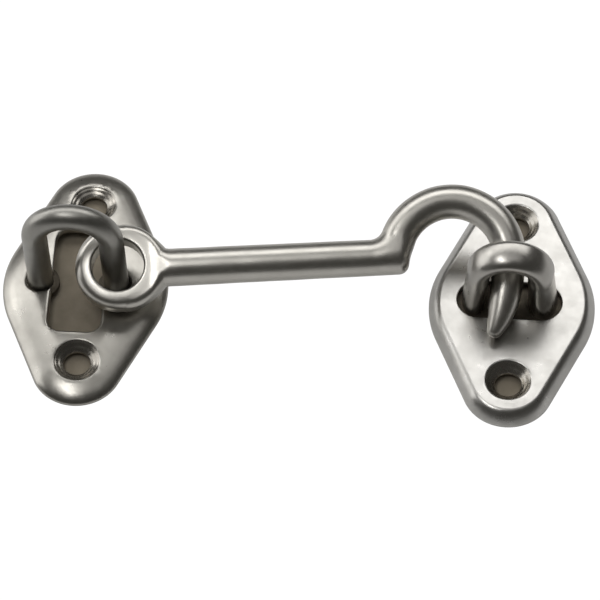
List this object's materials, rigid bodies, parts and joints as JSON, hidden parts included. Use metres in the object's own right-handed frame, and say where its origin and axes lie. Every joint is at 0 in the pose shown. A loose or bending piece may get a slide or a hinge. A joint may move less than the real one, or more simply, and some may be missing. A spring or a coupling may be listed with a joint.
{
  "type": "shutter hook",
  "caption": "Cabin hook for shutters: a ring eye turns on a wire loop, and the curved end drops into a staple on a second plate.",
  "frame": {"origin": "middle of the pivot plate's mounting face, midway between its two screw holes", "axes": "+Z out of the wall, +X from the pivot plate to the keeper plate along the closed hook, +Y along the plates, towards the side that the hook opens to"},
  "size_m": [0.1378, 0.0646, 0.0323],
  "materials": {
    "pivot_plate": "satin pressed sheet",
    "pivot_loop": "satin drawn wire",
    "hook": "satin bar",
    "keeper_plate": "satin pressed sheet",
    "keeper_staple": "satin bar"
  },
  "bodies": {
    "plates": {"pivot_plate": "pivot_plate", "pivot_loop": "pivot_loop", "keeper_plate": "keeper_plate", "keeper_staple": "keeper_staple"},
    "hook": {"hook": "hook"}
  },
  "joints": [
    {"name": "hook_swing", "type": "hinge", "parent": "plates", "child": "hook", "pos_m": [0.00732, 0, 0.01114], "axis": [0, 0, 1], "range_deg": [-3, 145]}
  ]
}
